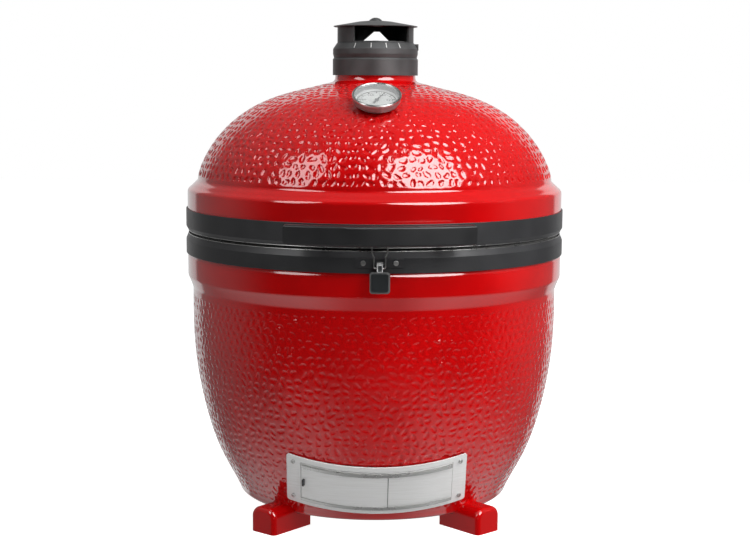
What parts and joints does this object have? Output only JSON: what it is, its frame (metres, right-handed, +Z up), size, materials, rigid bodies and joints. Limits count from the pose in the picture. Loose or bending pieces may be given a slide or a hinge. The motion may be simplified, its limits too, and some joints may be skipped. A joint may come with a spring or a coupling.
{
  "type": "kamado ceramic grill",
  "caption": "Egg-shaped ceramic charcoal grill on ceramic feet: hinged dome with thermometer and turning top vent, sliding draft door with ash drawer below.",
  "frame": {"origin": "the kettle's axis at floor level, under the middle of the object's box", "axes": "+Z up along the kettle's axis, -Y to the front where the latch, thermometer and draft door are, +X to the right seen from the front"},
  "size_m": [0.707, 0.808, 0.918],
  "materials": {
    "red_glaze": "high-gloss glaze over a dimpled surface",
    "refractory": "unglazed",
    "band_black": "satin powder coat",
    "felt": "woven fibre gasket",
    "handle_black": "satin moulded",
    "steel": "brushed",
    "steel_bright": "polished",
    "spring_steel": "oiled",
    "dark_grip": "satin",
    "dial": "satin, printed",
    "needle": "matt",
    "glass": "clear",
    "cast_grey": "textured powder coat on casting",
    "cast_iron": "seasoned",
    "satin_grey": "satin, bead blasted",
    "brass": "machined"
  },
  "bodies": {
    "base": {"base": "red_glaze", "foot_left": "red_glaze", "foot_right": "red_glaze", "foot_rear": "red_glaze", "base_band": "band_black", "base_gasket": "felt", "hinge_lower_bracket": "band_black", "hinge_lower_bolts": "steel", "hinge_pin": "steel", "hinge_pin_caps": "steel", "hinge_spring_left": "spring_steel", "hinge_spring_right": "spring_steel", "latch_bracket": "band_black", "latch_screws": "steel_bright", "latch_pin": "steel_bright", "draft_frame": "steel", "draft_frame_gasket": "felt", "draft_frame_screws": "steel", "firebox_base": "refractory", "firebox_panels": "refractory", "firebox_band": "steel", "fire_ring": "refractory", "charcoal_grate": "cast_iron", "cooking_rack": "steel", "deflector_left": "refractory", "deflector_right": "refractory"},
    "dome": {"dome": "red_glaze", "dome_band": "band_black", "dome_gasket": "felt", "handle": "handle_black", "handle_bracket_left": "band_black", "handle_bracket_right": "band_black", "handle_screws": "steel", "hinge_upper_bracket": "band_black", "hinge_upper_bolts": "steel", "latch_strike": "steel", "gauge_case": "satin_grey", "gauge_bezel": "steel_bright", "gauge_dial": "dial", "gauge_glass": "glass", "gauge_stem": "steel", "gauge_nut": "brass", "vent_collar": "cast_grey", "vent_gasket": "felt", "vent_hinge_pin": "steel"},
    "vent_body": {"vent_deck": "cast_grey", "vent_spindle": "cast_grey"},
    "vent_cap": {"vent_cap": "cast_grey"},
    "gauge_needle": {"gauge_needle": "needle"},
    "latch_lever": {"latch_lever": "satin_grey", "latch_grip": "dark_grip"},
    "latch_bail": {"latch_bail": "steel_bright"},
    "ash_drawer": {"drawer_box": "steel", "drawer_front": "steel", "drawer_rails": "steel", "draft_screen": "steel"},
    "draft_door": {"draft_door": "steel", "draft_door_knob": "dark_grip"},
    "grate_left": {"cooking_grate_left": "steel"},
    "grate_right": {"cooking_grate_right": "steel"}
  },
  "joints": [
    {"name": "dome_hinge", "type": "hinge", "parent": "base", "child": "dome", "pos_m": [0, 0.388, 0.5215], "axis": [-1, 0, 0], "range_deg": [0, 75]},
    {"name": "vent_flip", "type": "hinge", "parent": "dome", "child": "vent_body", "pos_m": [0, 0.086, 0.848], "axis": [-1, 0, 0], "range_deg": [0, 95]},
    {"name": "vent_turn", "type": "hinge", "parent": "vent_body", "child": "vent_cap", "pos_m": [0, 0, 0.88], "axis": [0, 0, 1], "range_deg": [0, 90]},
    {"name": "gauge_turn", "type": "hinge", "parent": "dome", "child": "gauge_needle", "pos_m": [-0.003, -0.214, 0.7603], "axis": [0, 0.4695, -0.8829], "range_deg": [-163, 107]},
    {"name": "latch_lift", "type": "hinge", "parent": "base", "child": "latch_lever", "pos_m": [0, -0.364, 0.5], "axis": [-1, 0, 0], "range_deg": [0, 102]},
    {"name": "latch_bail_swing", "type": "hinge", "parent": "latch_lever", "child": "latch_bail", "pos_m": [0, -0.3625, 0.4932], "axis": [-1, 0, 0], "range_deg": [-102, 0]},
    {"name": "drawer_slide", "type": "slide", "parent": "base", "child": "ash_drawer", "axis": [0, -1, 0], "range_m": [0, 0.2]},
    {"name": "draft_door_slide", "type": "hinge", "parent": "ash_drawer", "child": "draft_door", "pos_m": [0, 0.00009, 0.22363], "axis": [0, -0.4115, 0.9114], "range_deg": [0, 20.3]},
    {"name": "grate_left_lift", "type": "slide", "parent": "base", "child": "grate_left", "axis": [0, 0, 1], "range_m": [0, 0.03]},
    {"name": "grate_right_lift", "type": "slide", "parent": "base", "child": "grate_right", "axis": [0, 0, 1], "range_m": [0, 0.03]}
  ],
  "couplings": [
    {"joint": "latch_bail_swing", "follows": "latch_lift", "ratio": -1}
  ]
}
